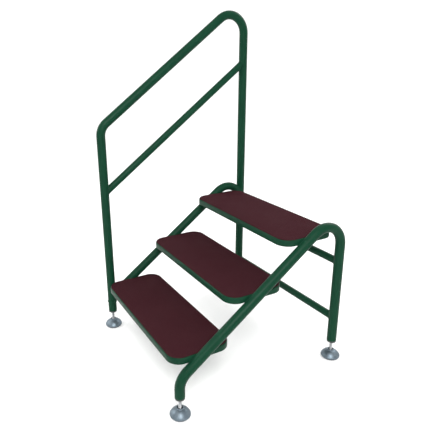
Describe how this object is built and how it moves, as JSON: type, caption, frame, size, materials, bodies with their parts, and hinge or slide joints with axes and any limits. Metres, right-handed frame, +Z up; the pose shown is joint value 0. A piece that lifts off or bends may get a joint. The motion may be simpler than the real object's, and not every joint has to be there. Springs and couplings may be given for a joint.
{
  "type": "mounting block",
  "caption": "Stepped mounting block in bent green steel tube, with non-slip treads, a handrail on the left going up and screw-adjustable levelling feet on swivel pads.",
  "frame": {"origin": "on the floor, midway between the four feet", "axes": "+Z up, the steps climb towards +Y, the handrail stands on the -X side"},
  "size_m": [0.79, 0.83, 1.4726],
  "materials": {
    "green_powder_coat": "semi-gloss powder coat on steel",
    "tread_mat": "matt, fine-grained non-slip",
    "end_insert": "matt moulded nylon",
    "zinc_stud": "zinc plated, rolled thread",
    "zinc_pad": "zinc plated pressing, satin",
    "sole_rubber": "matt black"
  },
  "bodies": {
    "frame": {"right_side_frame": "green_powder_coat", "left_side_frame": "green_powder_coat", "handrail_hoop": "green_powder_coat", "handrail_mid_rail": "green_powder_coat", "rear_crossbar_upper": "green_powder_coat", "rear_crossbar_lower": "green_powder_coat", "lower_tread_tray": "green_powder_coat", "middle_tread_tray": "green_powder_coat", "top_tread_tray": "green_powder_coat", "lower_tread_stiffener": "green_powder_coat", "middle_tread_stiffener": "green_powder_coat", "top_tread_stiffener": "green_powder_coat", "lower_tread_mat": "tread_mat", "middle_tread_mat": "tread_mat", "top_tread_mat": "tread_mat", "front_right_leg_insert": "end_insert", "front_left_leg_insert": "end_insert", "rear_right_leg_insert": "end_insert", "rear_left_leg_insert": "end_insert"},
    "front_right_stud": {"front_right_foot_stud": "zinc_stud"},
    "front_right_pad": {"front_right_foot_pad": "zinc_pad", "front_right_foot_sole": "sole_rubber"},
    "front_left_stud": {"front_left_foot_stud": "zinc_stud"},
    "front_left_pad": {"front_left_foot_pad": "zinc_pad", "front_left_foot_sole": "sole_rubber"},
    "rear_right_stud": {"rear_right_foot_stud": "zinc_stud"},
    "rear_right_pad": {"rear_right_foot_pad": "zinc_pad", "rear_right_foot_sole": "sole_rubber"},
    "rear_left_stud": {"rear_left_foot_stud": "zinc_stud"},
    "rear_left_pad": {"rear_left_foot_pad": "zinc_pad", "rear_left_foot_sole": "sole_rubber"}
  },
  "joints": [
    {"name": "front_right_foot_height", "type": "slide", "parent": "frame", "child": "front_right_stud", "axis": [0, 0, -1], "range_m": [-0.025, 0.02]},
    {"name": "front_right_pad_tilt", "type": "hinge", "parent": "front_right_stud", "child": "front_right_pad", "pos_m": [0.355, -0.375, 0.017], "axis": [1, 0, 0], "range_deg": [-12, 12]},
    {"name": "front_left_foot_height", "type": "slide", "parent": "frame", "child": "front_left_stud", "axis": [0, 0, -1], "range_m": [-0.025, 0.02]},
    {"name": "front_left_pad_tilt", "type": "hinge", "parent": "front_left_stud", "child": "front_left_pad", "pos_m": [-0.355, -0.375, 0.017], "axis": [1, 0, 0], "range_deg": [-12, 12]},
    {"name": "rear_right_foot_height", "type": "slide", "parent": "frame", "child": "rear_right_stud", "axis": [0, 0, -1], "range_m": [-0.025, 0.02]},
    {"name": "rear_right_pad_tilt", "type": "hinge", "parent": "rear_right_stud", "child": "rear_right_pad", "pos_m": [0.355, 0.375, 0.017], "axis": [1, 0, 0], "range_deg": [-12, 12]},
    {"name": "rear_left_foot_height", "type": "slide", "parent": "frame", "child": "rear_left_stud", "axis": [0, 0, -1], "range_m": [-0.025, 0.02]},
    {"name": "rear_left_pad_tilt", "type": "hinge", "parent": "rear_left_stud", "child": "rear_left_pad", "pos_m": [-0.355, 0.375, 0.017], "axis": [1, 0, 0], "range_deg": [-12, 12]}
  ]
}
